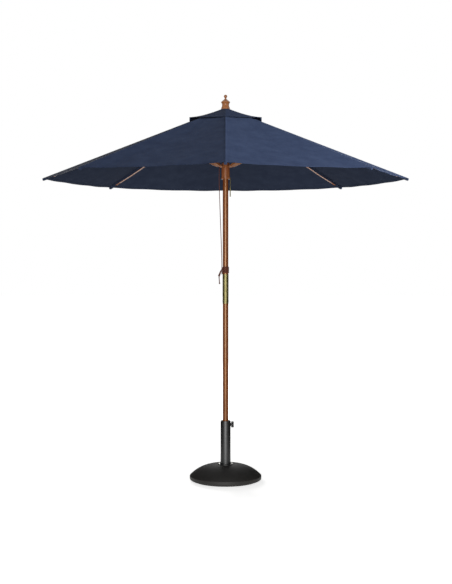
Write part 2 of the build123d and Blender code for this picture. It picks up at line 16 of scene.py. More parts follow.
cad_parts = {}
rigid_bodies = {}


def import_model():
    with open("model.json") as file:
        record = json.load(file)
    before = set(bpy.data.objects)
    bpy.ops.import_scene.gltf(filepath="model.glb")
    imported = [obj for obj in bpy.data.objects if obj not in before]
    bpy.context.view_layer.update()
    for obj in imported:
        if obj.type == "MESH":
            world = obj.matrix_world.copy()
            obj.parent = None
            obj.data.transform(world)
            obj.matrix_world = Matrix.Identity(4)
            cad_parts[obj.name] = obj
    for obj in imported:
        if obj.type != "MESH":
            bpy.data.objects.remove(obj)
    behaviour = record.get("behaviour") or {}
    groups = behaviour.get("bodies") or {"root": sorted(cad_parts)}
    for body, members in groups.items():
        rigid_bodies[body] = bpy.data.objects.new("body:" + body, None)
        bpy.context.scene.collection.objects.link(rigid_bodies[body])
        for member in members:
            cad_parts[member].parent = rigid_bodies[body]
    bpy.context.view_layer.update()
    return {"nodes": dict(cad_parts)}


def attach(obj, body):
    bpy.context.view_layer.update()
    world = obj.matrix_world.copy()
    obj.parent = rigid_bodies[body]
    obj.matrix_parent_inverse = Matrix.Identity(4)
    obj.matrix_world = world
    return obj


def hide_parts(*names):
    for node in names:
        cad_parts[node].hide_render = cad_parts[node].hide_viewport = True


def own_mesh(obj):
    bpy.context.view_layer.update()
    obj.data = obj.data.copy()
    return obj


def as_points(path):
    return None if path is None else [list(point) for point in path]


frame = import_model()

# %% [markdown]
# ## The camera comes first
# A likeness is judged from the photograph's own viewpoint, so the camera is set before anything is
# modelled. The eight rib tips form a known octagon, and their places in the picture give the distance, the
# height and the focal length. The horizon lies a little above the middle of the picture, so the camera
# looks down by a small angle.

# %% Camera
IMAGE_HEIGHT = 584
FOCAL_PIXELS = 1096.3
HORIZON_ROW = 261.8
CAMERA_PLACE = (0.003, -7.500, 1.502)
SENSOR = 36

camera_data = bpy.data.cameras.new("camera")
camera_data.sensor_fit = "VERTICAL"
camera_data.sensor_height = SENSOR
camera_data.lens = SENSOR * FOCAL_PIXELS / IMAGE_HEIGHT
camera = bpy.data.objects.new("camera", camera_data)
look_down = math.atan((IMAGE_HEIGHT / 2 - HORIZON_ROW) / FOCAL_PIXELS)
camera.location = CAMERA_PLACE
camera.rotation_euler = (math.pi / 2 - look_down, 0, 0)
bpy.context.scene.collection.objects.link(camera)
bpy.context.scene.camera = camera
print(f"camera: {camera_data.lens:.1f} mm lens, {math.degrees(look_down):.1f} degrees down")

# %% [markdown]
# ## Materials are small node trees
# Each finish starts from what the real surface is. Two helpers are enough: one turns a colour as a painter
# would write it, in sRGB hex, into the linear value that shaders take, and one adds a node with its
# settings and links. Pattern sizes are written in metres. A noise texture of scale s shows blobs about
# 1/s wide, and a wave texture of scale 1 repeats every pi/10, so both scales follow from a real size.

# %% Helpers for materials
WAVE_REPEAT = math.pi / 10
MM = 0.001


def linear(colour):
    """Linear RGBA of an sRGB hex colour."""
    parts = [int(colour[i : i + 2], 16) / 255 for i in (1, 3, 5)]
    return [c / 12.92 if c <= 0.04045 else ((c + 0.055) / 1.055) ** 2.4 for c in parts] + [1]


def add_node(tree, kind, settings, inputs):
    """A new node: settings are its own values, inputs are numbers, colours or sockets to link."""
    node = tree.nodes.new("ShaderNode" + kind)
    for name, value in settings.items():
        setattr(node, name, value)
    for name, value in inputs.items():
        if isinstance(value, bpy.types.NodeSocket):
            tree.links.new(value, node.inputs[name])
        else:
            node.inputs[name].default_value = value
    return node


def new_material(name, **constants):
    """A material with its principled shader, and the values that are the same all over it."""
    material = bpy.data.materials.new(name)
    material.use_nodes = True
    shader = material.node_tree.nodes["Principled BSDF"]
    for socket, value in constants.items():
        shader.inputs[socket.replace("_", " ")].default_value = value
    return material, material.node_tree, shader


def dress(material, *names):
    """CAD nodes take a new material in place of their own."""
    for name in names:
        slots = frame["nodes"][name].data.materials
        slots.clear()
        slots.append(material)


print(f"sRGB #808080 is {linear('#808080')[0]:.3f} in linear light")

# %% [markdown]
# ## Canopy cloth
# The canopy is solution-dyed woven polyester in navy: matt, with a faint sheen at grazing angles and a
# plain weave. Threads lie about half a millimetre apart, which no picture of the whole umbrella can show,
# so the weave is drawn eight times as coarse. The cloth's own UV map is in metres along and across each
# gore, so the weave follows the cut. Slow changes of tone are painted light and shade of the faint creases
# that new cloth keeps, and the same noise gives those creases a bump.

# %% Woven polyester
THREAD = 4 * MM
CREASE = 90 * MM


def woven_polyester(name, dark, pale):
    """Dyed cloth with painted crease shade, whose weave follows the UV map named cloth."""
    material, tree, shader = new_material(
        name,
        Roughness=0.9,
        Specular_IOR_Level=0.0,
        Sheen_Weight=0.045,
        Sheen_Roughness=0.2,
    )
    uv = add_node(tree, "UVMap", {"uv_map": "cloth"}, {}).outputs["UV"]
    spot = add_node(tree, "TexCoord", {}, {}).outputs["Object"]
    bands = {"wave_type": "BANDS", "wave_profile": "SIN"}
    scale = {"Vector": uv, "Scale": WAVE_REPEAT / THREAD}
    warp = add_node(tree, "TexWave", {**bands, "bands_direction": "X"}, scale)
    weft = add_node(tree, "TexWave", {**bands, "bands_direction": "Y"}, scale)
    weave = add_node(
        tree,
        "Math",
        {"operation": "MULTIPLY"},
        {0: warp.outputs["Fac"], 1: weft.outputs["Fac"]},
    )
    tone = add_node(
        tree,
        "TexNoise",
        {},
        {"Vector": spot, "Scale": 1 / CREASE, "Detail": 5.0, "Roughness": 0.62},
    )
    # painted light and shade of the creases: the crease noise is spread into the colour mix
    painted_crease_shade = add_node(
        tree,
        "MapRange",
        {},
        {"Value": tone.outputs["Fac"], "From Min": 0.32, "From Max": 0.68},
    )
    toned = add_node(
        tree,
        "MixRGB",
        {},
        {"Fac": painted_crease_shade.outputs["Result"], "Color1": linear(dark), "Color2": linear(pale)},
    )
    threads = add_node(
        tree,
        "MixRGB",
        {"blend_type": "MULTIPLY"},
        {"Fac": 0.18, "Color1": toned.outputs["Color"], "Color2": weave.outputs["Value"]},
    )
    creased = add_node(
        tree,
        "Bump",
        {},
        {"Height": tone.outputs["Fac"], "Strength": 0.35, "Distance": 6 * MM},
    )
    woven = add_node(
        tree,
        "Bump",
        {},
        {
            "Height": weave.outputs["Value"],
            "Strength": 0.5,
            "Distance": 0.4 * MM,
            "Normal": creased.outputs["Normal"],
        },
    )
    tree.links.new(threads.outputs["Color"], shader.inputs["Base Color"])
    tree.links.new(woven.outputs["Normal"], shader.inputs["Normal"])
    return material


print("cloth weave drawn at", THREAD, "m")

# %% [markdown]
# Canopy and cap are probably cut from one bolt. The cap gets a darker copy of the canopy's cloth,
# which is painted shade for the deeper tone that the cap shows.

# %% Cloth of canopy and cap
canopy_cloth = woven_polyester("woven_polyester_navy", "#343f59", "#3c4863")
# the cap's darker tones are painted shade on the canopy's cloth
cap_cloth_painted_shade = woven_polyester("woven_polyester_navy_cap_painted_shade", "#2b3449", "#323c53")
print("cloths:", canopy_cloth.name, "and", cap_cloth_painted_shade.name)

# %% [markdown]
# ## Stained hardwood
# Pole, ribs, struts and hubs are a red hardwood under a satin varnish. To the eye that is long grain along
# the piece, fine dark pores and slow changes from golden to red brown. The pattern is a noise that is
# squeezed across the grain and drawn out along it. Real pores are a fraction of a millimetre wide and are
# drawn coarser, so that they show. Each rib and strut points its own way, so a Mapping node first turns the
# grain's direction upright, and one function serves every piece. The varnish can be glossier or tinted:
# amber varnish gives a warm highlight.

# %% Stained hardwood
GRAIN_WIDTH = 5 * MM
GRAIN_LENGTH = 220 * MM
PORE_WIDTH = 1.6 * MM
PORE_LENGTH = 110 * MM


def stained_hardwood(name, dark, mid, pale, along, gloss=0.4, varnish="#ffffff"):
    """Varnished wood whose grain runs along a direction."""
    material, tree, shader = new_material(name, Specular_IOR_Level=gloss)
    shader.inputs["Specular Tint"].default_value = linear(varnish)
    spot = add_node(tree, "TexCoord", {}, {}).outputs["Object"]
    upright = Vector(along).rotation_difference(Vector((0, 0, 1))).to_euler()
    turned = add_node(tree, "Mapping", {}, {"Vector": spot, "Rotation": upright}).outputs["Vector"]
    grain_scale = (1 / GRAIN_WIDTH, 1 / GRAIN_WIDTH, 1 / GRAIN_LENGTH)
    pore_scale = (1 / PORE_WIDTH, 1 / PORE_WIDTH, 1 / PORE_LENGTH)
    drawn = add_node(tree, "Mapping", {}, {"Vector": turned, "Scale": grain_scale})
    finer = add_node(tree, "Mapping", {}, {"Vector": turned, "Scale": pore_scale})
    grain = add_node(
        tree,
        "TexNoise",
        {},
        {"Vector": drawn.outputs["Vector"], "Scale": 1.0, "Detail": 4.0, "Distortion": 0.6},
    )
    pores = add_node(
        tree,
        "TexNoise",
        {},
        {"Vector": finer.outputs["Vector"], "Scale": 1.0, "Detail": 2.0},
    )
    streaks = add_node(
        tree,
        "MapRange",
        {},
        {"Value": grain.outputs["Fac"], "From Min": 0.35, "From Max": 0.66},
    )
    specks = add_node(
        tree,
        "MapRange",
        {},
        {"Value": pores.outputs["Fac"], "From Min": 0.52, "From Max": 0.70, "To Max": 0.55},
    )
    body = add_node(
        tree,
        "MixRGB",
        {},
        {"Fac": streaks.outputs["Result"], "Color1": linear(mid), "Color2": linear(pale)},
    )
    pored = add_node(
        tree,
        "MixRGB",
        {},
        {"Fac": specks.outputs["Result"], "Color1": body.outputs["Color"], "Color2": linear(dark)},
    )
    worn = add_node(
        tree,
        "MapRange",
        {},
        {"Value": grain.outputs["Fac"], "To Min": 0.26, "To Max": 0.40},
    )
    relief = add_node(
        tree,
        "Bump",
        {},
        {"Height": pores.outputs["Fac"], "Strength": 0.12, "Distance": 0.3 * MM},
    )
    tree.links.new(pored.outputs["Color"], shader.inputs["Base Color"])
    tree.links.new(worn.outputs["Result"], shader.inputs["Roughness"])
    tree.links.new(relief.outputs["Normal"], shader.inputs["Normal"])
    return material


print(f"grain {GRAIN_WIDTH / MM:.0f} mm wide and {GRAIN_LENGTH / MM:.0f} mm long")

# %% [markdown]
# The ribs stand round the pole every 45 degrees, the first at the front. They slope down by 21 degrees, and
# the struts rise under them, so two small functions give the direction of any of the sixteen.

# %% Directions of ribs and struts
RIBS = range(1, 9)
RIB_SLOPE = math.radians(21)
STRUT_RISE = math.radians(23.388)
UP = (0, 0, 1)


def rib_angle(number):
    """Direction of a rib round the pole, the first at the front."""
    return math.radians(-90 + 45 * (number - 1))


def outward(number, rise):
    """Unit vector away from the pole along a rib, tilted up by an angle."""
    angle = rib_angle(number)
    level = math.cos(rise)
    return Vector((level * math.cos(angle), level * math.sin(angle), math.sin(rise)))


print("rib 3 points along", tuple(round(part, 3) for part in outward(3, -RIB_SLOPE)))

# %% [markdown]
# The pole is the darkest and has most varnish. The finial is turned and drawn in a paler tone, and ribs
# and struts are golden. All of them are CAD nodes, which keep their shape and only take a material.

# %% Wood on its pieces
POLE_GLOSS = 0.85
AMBER_VARNISH = "#ffdcb4"
POLE_TONES = ("#40200e", "#703a1b", "#8a5028")
RIB_TONES = ("#4e2a16", "#8d5430", "#ad7447")
pole_wood = stained_hardwood("stained_hardwood_pole", *POLE_TONES, UP, POLE_GLOSS, AMBER_VARNISH)
hub_wood = stained_hardwood("stained_hardwood_hub", "#522b18", "#8a4e2e", "#a66a43", UP)
finial_wood = stained_hardwood("stained_hardwood_finial", "#6e3c1c", "#a06337", "#b57848", UP)
dress(pole_wood, "lower_pole", "upper_pole")
dress(hub_wood, "top_hub", "runner")
dress(finial_wood, "finial")
for number in RIBS:
    for part, along in (("rib", outward(number, -RIB_SLOPE)), ("strut", outward(number, STRUT_RISE))):
        golden = stained_hardwood(f"stained_hardwood_{part}_{number}", *RIB_TONES, along)
        dress(golden, f"{part}_{number}")
print("hardwood on pole, hubs, finial, ribs and struts")

# %% [markdown]
# ## Metals, paint, plastic and concrete
# Cast, moulded and plated surfaces have no direction. To the eye they differ in tone, in gloss and in the
# size of their patches, so one function with these three as its values makes all of them.

# %% Mottled finish
TARNISH = 22 * MM
SAND = 3 * MM


def mottled(name, patch, pale, dark, rough, bump, **constants):
    """A finish whose tone and gloss change in patches of one size, with a slight relief."""
    material, tree, shader = new_material(name, **constants)
    spot = add_node(tree, "TexCoord", {}, {}).outputs["Object"]
    patches = add_node(
        tree,
        "TexNoise",
        {},
        {"Vector": spot, "Scale": 1 / patch, "Detail": 6.0, "Roughness": 0.6},
    )
    blend = add_node(
        tree,
        "MapRange",
        {},
        {"Value": patches.outputs["Fac"], "From Min": 0.35, "From Max": 0.65},
    )
    colour = add_node(
        tree,
        "MixRGB",
        {},
        {"Fac": blend.outputs["Result"], "Color1": linear(dark), "Color2": linear(pale)},
    )
    gloss = add_node(
        tree,
        "MapRange",
        {},
        {"Value": patches.outputs["Fac"], "To Min": rough[0], "To Max": rough[1]},
    )
    relief = add_node(
        tree,
        "Bump",
        {},
        {"Height": patches.outputs["Fac"], "Strength": 0.5, "Distance": bump},
    )
    tree.links.new(colour.outputs["Color"], shader.inputs["Base Color"])
    tree.links.new(gloss.outputs["Result"], shader.inputs["Roughness"])
    tree.links.new(relief.outputs["Normal"], shader.inputs["Normal"])
    return material


print(f"patches: {TARNISH / MM:.0f} mm of tarnish, {SAND / MM:.0f} mm of sand")

# %% [markdown]
# The ferrule is a drawn brass tube, dulled by weather and hands, and chain and pin are brass too. Bolts and
# wires are zinc-plated steel, bright and a little cloudy. The dome is cast concrete under charcoal paint:
# matt, with a sandy skin whose grains are drawn coarser than they are, so that they show. The nut is
# blackened steel, the ring under the foot dull rubber. Knob and sheave are moulded nylon and the sleeve is
# polypropylene, with the soft gloss of a mould.

# %% Metals, plastics and concrete
brass = mottled("weathered_brass", TARNISH, "#9b9367", "#81794d", (0.50, 0.62), 0.1 * MM, Metallic=1.0)
zinc = mottled("zinc_plated_steel", 4 * MM, "#c9c9c4", "#a9a9a3", (0.25, 0.4), 0.05 * MM, Metallic=1.0)
concrete = mottled(
    "painted_concrete",
    SAND,
    "#2d2c2b",
    "#242322",
    (0.50, 0.66),
    0.5 * MM,
    Specular_IOR_Level=0.35,
)
black_steel = mottled("black_oxide_steel", 2 * MM, "#171718", "#101011", (0.45, 0.6), 0.05 * MM)
rubber = mottled("moulded_rubber", 5 * MM, "#1d1d1d", "#161616", (0.7, 0.9), 0.1 * MM)
knob_plastic = mottled("moulded_nylon", 2 * MM, "#1b1b1c", "#141415", (0.4, 0.55), 0.05 * MM)
sleeve_plastic = mottled("moulded_polypropylene", 3 * MM, "#4a4845", "#3d3b39", (0.5, 0.65), 0.05 * MM)
dress(brass, "ferrule", "ferrule_nails", *[f"clevis_{number}" for number in RIBS])
dress(brass, "chain_eyelet", "pin_chain", "lock_pin")
dress(zinc, "flange_bolts", "clamp_screw", "top_hub_wire", "runner_wire", "sheave_axle")
dress(concrete, "foot_weight")
dress(black_steel, "clamp_nut")
dress(rubber, "foot_ring")
dress(knob_plastic, "clamp_knob", "sheave")
dress(sleeve_plastic, "pole_adaptor")
print("metals, plastics and concrete are on")

# %% [markdown]
# The foot's tube is steel under a hammered enamel: the paint draws into small dimples, which break up the
# highlight. Smooth Voronoi cells have the dimples' shape.

# %% Hammered enamel
DIMPLE = 7 * MM
enamel, tree, shader = new_material("hammered_enamel", Roughness=0.38, Specular_IOR_Level=0.8)
spot = add_node(tree, "TexCoord", {}, {}).outputs["Object"]
dimples = add_node(tree, "TexVoronoi", {"feature": "SMOOTH_F1"}, {"Vector": spot, "Scale": 1 / DIMPLE})
tone = add_node(tree, "TexNoise", {}, {"Vector": spot, "Scale": 1 / TARNISH, "Detail": 4.0})
grey = add_node(
    tree,
    "MixRGB",
    {},
    {"Fac": tone.outputs["Fac"], "Color1": linear("#18191a"), "Color2": linear("#222324")},
)
hammered = add_node(
    tree,
    "Bump",
    {},
    {"Height": dimples.outputs["Distance"], "Strength": 0.35, "Distance": 0.6 * MM},
)
tree.links.new(grey.outputs["Color"], shader.inputs["Base Color"])
tree.links.new(hammered.outputs["Normal"], shader.inputs["Normal"])
dress(enamel, "base_tube", "tube_flange")
print(f"enamel with dimples of {DIMPLE / MM:.0f} mm on tube and flange")

# %% [markdown]
# ## Canopy cloth, cut flat and laid over the ribs
# The real cover is eight gores sewn together along the ribs. Between two ribs the cloth hangs in a slight
# hollow, so the surface is a soft saddle and never a flat panel. It is built in eight strips that meet in
# the middle of the gores, where the surface runs smoothly on from one strip to the next, so the sheet looks
# unbroken. Each strip goes with one rib, which lets the cover fold. A strip starts as a grid whose x is the
# distance from the pole and whose y goes from -1 to 1 across it. Its hem is folded under while it is flat,
# and then every vertex is carried to its place on the frame.

# %% Shape of the canopy
HALF_PITCH = math.radians(22.5)
PIVOT_RADIUS = 0.0247
HUB_PIVOT = 2.527
CLOTH_OVER_RIB = 0.0122
CLOTH_THICKNESS = 0.0007
VENT_RADIUS = 0.150
HEM_RADIUS = 1.250
HOLLOW = 0.006
HEM_DROOP = 0.010
HEM_WIDTH = 0.026
SEAM_HALF = 0.007
SEAM_RAISE = 0.0008
PUCKER_HEIGHT = 0.0004
PUCKER_WAVES = 118
PUCKER_SLANT = 3
PUCKER_FADE = 0.05
RIPPLE_HEIGHT = 0.0016
RIPPLE_WAVES = 9.2
RIPPLE_START = 1.3


def ridge_height(radius):
    """Height of the cloth's middle layer over a rib."""
    over_rib = CLOTH_OVER_RIB / math.cos(RIB_SLOPE) + CLOTH_THICKNESS / 2
    return HUB_PIVOT + over_rib - (radius - PIVOT_RADIUS) * math.tan(RIB_SLOPE)


def on_gore(radius, across, height):
    """A strip along +X: the point that lies this share of the way from the ridge to mid gore."""
    share = abs(across)
    chord = radius * math.sin(HALF_PITCH) * share
    side = math.copysign(chord * math.cos(HALF_PITCH), across)
    return Vector((radius - chord * math.sin(HALF_PITCH), side, height))


def canopy_point(radius, across, lift):
    """Place on the canopy of a point of the flat strip, lifted off the cloth by a little."""
    share = abs(across)
    down = (radius - VENT_RADIUS) / (HEM_RADIUS - VENT_RADIUS)
    sag = HEM_DROOP * down + 4 * HOLLOW * down * (1 - down)
    hang = share * (2 - share)
    half_width = radius * math.sin(HALF_PITCH)
    from_ridge = share * half_width
    wave = math.sin(radius * PUCKER_WAVES + PUCKER_SLANT * across)
    pucker = PUCKER_HEIGHT * wave * math.exp(-from_ridge / PUCKER_FADE)
    swing = math.sin(across * RIPPLE_WAVES + RIPPLE_START)
    ripple = RIPPLE_HEIGHT * swing * share * (1 - share) * 4 * down**4
    seam = SEAM_RAISE if from_ridge < SEAM_HALF else 0
    height = ridge_height(radius) - sag * hang + pucker * share**0.5 + ripple + seam + lift
    return on_gore(radius, across, height)


def mesh_object(name, bm, material):
    """An object at the origin from a finished bmesh, shaded smooth."""
    mesh = bpy.data.meshes.new(name)
    bm.to_mesh(mesh)
    bm.free()
    mesh.materials.append(material)
    mesh.shade_smooth()
    made = bpy.data.objects.new(name, mesh)
    bpy.context.scene.collection.objects.link(made)
    return made


for edge, radius in (("vent", VENT_RADIUS), ("hem", HEM_RADIUS)):
    print(f"ridge at the {edge}: {ridge_height(radius):.3f} m high")

# %% [markdown]
# A grid's rows are even, but the fold over the rib needs its rows close together. Raising the crosswise
# coordinate to a power moves the rows towards the ridge. The UV map is written from the flat cut: one
# direction runs along the middle of the gore and the other straight across it, as the threads do.

# %% Flat strips
STRIP_ROWS = 84
STRIP_COLUMNS = 64
ROW_POWER = 1.6
EVEN_WEIGHT = 90


def flat_strip(inner, outer, hem):
    """Grid with x from inner to outer radius and y from -1 to 1, with its outer hem folded under."""
    bm = bmesh.new()
    bmesh.ops.create_grid(bm, x_segments=STRIP_ROWS, y_segments=STRIP_COLUMNS, size=1)
    for vert in bm.verts:
        radius = inner + (outer - inner) * (vert.co.x + 1) / 2
        vert.co = (radius, math.copysign(abs(vert.co.y) ** ROW_POWER, vert.co.y), 0)
    edge = [e for e in bm.edges if e.is_boundary and min(v.co.x for v in e.verts) > outer - 1e-6]
    for step in ((0, 0, -2 * CLOTH_THICKNESS), (-hem, 0, 0)):
        grown = bmesh.ops.extrude_edge_only(bm, edges=edge)["geom"]
        verts = [g for g in grown if isinstance(g, bmesh.types.BMVert)]
        edge = [g for g in grown if isinstance(g, bmesh.types.BMEdge)]
        bmesh.ops.translate(bm, verts=verts, vec=step)
    return bm


def lay_cloth(bm, place):
    """UV map in metres from the flat cut, then every vertex goes to its place on the frame."""
    uv = bm.loops.layers.uv.new("cloth")
    along = math.hypot(math.cos(HALF_PITCH), math.tan(RIB_SLOPE))
    for face in bm.faces:
        for loop in face.loops:
            radius, across, lift = loop.vert.co
            from_middle = radius * math.sin(HALF_PITCH) * (1 - abs(across))
            loop[uv].uv = (from_middle, radius * along)
    for vert in bm.verts:
        vert.co = place(*vert.co)
    bmesh.ops.recalc_face_normals(bm, faces=bm.faces)


def cloth_area(obj):
    """Area of one side of a sheet's mesh."""
    return sum(face.area for face in obj.data.polygons)


def thicken(obj, thickness):
    """Thickness to both sides, with normals weighted by area so that the thin rim doesn't bend them."""
    wall = obj.modifiers.new("cloth_thickness", "SOLIDIFY")
    wall.thickness = thickness
    wall.offset = 0
    shading = obj.modifiers.new("even_shading", "WEIGHTED_NORMAL")
    shading.weight = EVEN_WEIGHT


print("a strip has", STRIP_ROWS, "by", STRIP_COLUMNS, "cells")

# %% [markdown]
# Each strip replaces one CAD panel and rides on its rib. When the frame closes, a strip that kept its width
# would run into its neighbours.

# %% Canopy strips
strips = []
for number in RIBS:
    bm = flat_strip(VENT_RADIUS, HEM_RADIUS, HEM_WIDTH)
    lay_cloth(bm, canopy_point)
    bm.transform(Matrix.Rotation(rib_angle(number), 4, "Z"))
    strip = mesh_object(f"canopy_strip_{number}", bm, canopy_cloth)
    thicken(strip, CLOTH_THICKNESS)
    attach(strip, f"rib_{number}")
    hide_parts(f"canopy_panel_{number}")
    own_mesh(strip)
    strips.append(strip)
print(f"canopy: {len(strips)} strips, {cloth_area(strips[0]):.3f} square metres each")

# %% [markdown]
# ## Rib sleeves and tip pockets
# Under the ridge the cloth is sewn to a narrow sleeve that straddles the rib, and at the hem the rib's end
# sits in a pocket. Both are drawn along +X as the rib is in its own frame, and one matrix then turns and
# carries them to the rib. A sleeve is an open strip: a few vertices across the rib, extruded along it.

# %% Rib sleeves
SLEEVE_STATIONS = [(0.150, -0.0088), (1.045, -0.0088), (1.238, -0.0030)]
SLEEVE_HALF = [(0.0080, -0.0088), (0.0080, 0.0096), (0.0074, 0.0105), (0.0, 0.0112)]
TAPE_THICKNESS = 0.0006


def rib_frame(number):
    """Matrix from a rib's own frame, along +X from its pivot, to its place."""
    turn = Matrix.Rotation(rib_angle(number), 4, "Z")
    pivot = Matrix.Translation((PIVOT_RADIUS, 0, HUB_PIVOT))
    return turn @ pivot @ Matrix.Rotation(RIB_SLOPE, 4, "Y")


def sew_on(name, bm, number):
    """A small cloth piece that stays with its rib."""
    uv = bm.loops.layers.uv.new("cloth")
    for face in bm.faces:
        for loop in face.loops:
            x, y, z = loop.vert.co
            loop[uv].uv = (x, y + z)
    bm.transform(rib_frame(number))
    piece = mesh_object(name, bm, canopy_cloth)
    thicken(piece, TAPE_THICKNESS)
    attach(piece, f"rib_{number}")


across = SLEEVE_HALF + [(-y, z) for y, z in reversed(SLEEVE_HALF[:-1])]
sleeve_girth = sum(math.dist(a, b) for a, b in zip(across, across[1:]))
for number in RIBS:
    bm = bmesh.new()
    verts = [bm.verts.new((SLEEVE_STATIONS[0][0], y, z)) for y, z in across]
    edges = [bm.edges.new(pair) for pair in zip(verts, verts[1:])]
    for station, skirt in SLEEVE_STATIONS[1:]:
        grown = bmesh.ops.extrude_edge_only(bm, edges=edges)["geom"]
        edges = [g for g in grown if isinstance(g, bmesh.types.BMEdge)]
        for vert in [g for g in grown if isinstance(g, bmesh.types.BMVert)]:
            vert.co.x = station
            vert.co.z = max(vert.co.z, skirt)
    bmesh.ops.recalc_face_normals(bm, faces=bm.faces)
    sew_on(f"rib_sleeve_{number}", bm, number)

# %% [markdown]
# A pocket starts as a cube. Its inner end is opened, it tapers a little towards the hem as the rib does,
# and a round bevel turns the box into a sewn pouch.

# %% Tip pockets
POCKET_ENDS = (1.232, 1.309)
POCKET_HALF_WIDTH = 0.0095
POCKET_TOP = 0.0108
POCKET_DEPTH = 0.0175
POCKET_TAPER = 0.0025
POCKET_ROUND = 0.004
for number in RIBS:
    bm = bmesh.new()
    bmesh.ops.create_cube(bm, size=1)
    for vert in bm.verts:
        x = POCKET_ENDS[0] if vert.co.x < 0 else POCKET_ENDS[1]
        low = POCKET_TOP - POCKET_DEPTH + (POCKET_TAPER if vert.co.x > 0 else 0)
        vert.co = (x, 2 * POCKET_HALF_WIDTH * vert.co.y, POCKET_TOP if vert.co.z > 0 else low)
    mouth = [f for f in bm.faces if f.calc_center_median().x < POCKET_ENDS[0] + POCKET_ROUND]
    bmesh.ops.delete(bm, geom=mouth, context="FACES_ONLY")
    bent = [e for e in bm.edges if not e.is_boundary]
    bmesh.ops.bevel(
        bm,
        geom=bent,
        offset=POCKET_ROUND,
        affect="EDGES",
        segments=4,
        profile=0.5,
        material=-1,
    )
    bmesh.ops.recalc_face_normals(bm, faces=bm.faces)
    sew_on(f"tip_pocket_{number}", bm, number)
print("tip pockets on", len(RIBS), "ribs")

# %% [markdown]
# ## Vent cap
# A small second roof covers the opening at the top and lets wind out. Most of its corners lie nearly on the
# canopy. Two side corners stand up, and the hem runs straight down from them to its neighbours, which
# shows as dark wedges at the sides. Behind those corners the hem hangs as a short wall. The same flat strip
# and laying function make it, with another shape.

# %% Vent cap strips
COLLAR_RADIUS = 0.020
COLLAR_HEIGHT = 2.5402
SHOULDER_RADIUS = 0.031
CAP_RADIUS = 0.246
CAP_ABOVE_CANOPY = 0.0042
CORNER_LIFT = {3: 0.027, 7: 0.027, 2: 0.005, 8: 0.005}
CAP_HEM = 0.014
WALLED_GORES = ({3, 4}, {6, 7})
WALL_SAG = 0.0055
CAP_FLARE = 2.5


def cap_place(number):
    """Laying function of the strip of the cap over one rib."""

    def place(radius, across, lift):
        """Place on the cap. In a walled gore the folded hem hangs down instead of lying under."""
        share = abs(across)
        corner = ridge_height(CAP_RADIUS) + CAP_ABOVE_CANOPY
        out = max(0, radius - SHOULDER_RADIUS) / (CAP_RADIUS - SHOULDER_RADIUS)
        beside = number + (1 if across > 0 else -1)
        lifts = [CORNER_LIFT.get((rib - 1) % len(RIBS) + 1, 0) for rib in (number, beside)]
        open_up = lifts[0] + (lifts[1] - lifts[0]) * share / 2
        if lift < 0 and {number, beside} in WALLED_GORES:
            drop = open_up + WALL_SAG * share * (2 - share)
            lift = (lift - drop) if radius < CAP_RADIUS - CAP_HEM / 2 else 0
            radius, out = CAP_RADIUS, 1
        height = COLLAR_HEIGHT + (corner - COLLAR_HEIGHT) * out + open_up * out**CAP_FLARE + lift
        return on_gore(radius, across, height)

    return place


for number in RIBS:
    bm = flat_strip(COLLAR_RADIUS, CAP_RADIUS, CAP_HEM)
    lay_cloth(bm, cap_place(number))
    bm.transform(Matrix.Rotation(rib_angle(number), 4, "Z"))
    cap = mesh_object(f"vent_cap_strip_{number}", bm, cap_cloth_painted_shade)
    thicken(cap, CLOTH_THICKNESS)
    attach(cap, f"rib_{number}")
    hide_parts("vent_cap")
    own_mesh(cap)
print(f"vent cap: {len(RIBS)} strips, {cloth_area(cap):.4f} square metres each")

# %% [markdown]
# ## The cord
# One braided cord lifts the runner: it leaves the runner's top, goes over the sheave in the pole's slot,
# falls beside the pole in a slight bow, and is wound on the pole above the ferrule, where its end hangs in
# a knot. The braid is matt polyester in a dull red brown. Its strands are drawn as slanting bands, coarser
# than they are, so that they show.

# %% Braid of the cord
BRAID = 6 * MM
cord_braid, tree, shader = new_material("braided_polyester_cord", Roughness=0.8, Specular_IOR_Level=0.3)
spot = add_node(tree, "TexCoord", {}, {}).outputs["Object"]
braid = add_node(
    tree,
    "TexWave",
    {"wave_type": "BANDS", "bands_direction": "DIAGONAL"},
    {"Vector": spot, "Scale": WAVE_REPEAT / BRAID, "Distortion": 1.5},
)
toned = add_node(
    tree,
    "MixRGB",
    {},
    {"Fac": braid.outputs["Fac"], "Color1": linear("#4a2620"), "Color2": linear("#784738")},
)
plaited = add_node(
    tree,
    "Bump",
    {},
    {"Height": braid.outputs["Fac"], "Strength": 0.6, "Distance": 0.5 * MM},
)
tree.links.new(toned.outputs["Color"], shader.inputs["Base Color"])
tree.links.new(plaited.outputs["Normal"], shader.inputs["Normal"])
print(f"braid repeats every {BRAID / MM:.0f} mm")

# %% [markdown]
# A cord is a NURBS curve with the route's points as its control points, which keeps it smooth. It can stay
# a curve, or become a mesh where it has to give way to a moving piece.

# %% Curves for the cord
CORD_DIAMETER = 0.005
CORD_SIDE = math.radians(-157.5)


def in_cord_plane(reach, height):
    """Point in the upright plane of the sheave."""
    return Vector((reach * math.cos(CORD_SIDE), reach * math.sin(CORD_SIDE), height))


def cord_curve(name, points, bevel):
    """Smooth NURBS curve with these control points, as a round cord or as a bare line."""
    curve = bpy.data.curves.new(name, "CURVE")
    curve.dimensions = "3D"
    spline = curve.splines.new("NURBS")
    spline.points.add(len(points) - 1)
    for control, point in zip(spline.points, points):
        control.co = (*point, 1)
    spline.order_u = 3
    spline.use_endpoint_u = True
    spline.resolution_u = 10
    curve.bevel_depth = bevel
    curve.bevel_resolution = 4
    curve.use_fill_caps = bevel > 0
    curve.materials.append(cord_braid)
    made = bpy.data.objects.new(name, curve)
    bpy.context.scene.collection.objects.link(made)
    return made


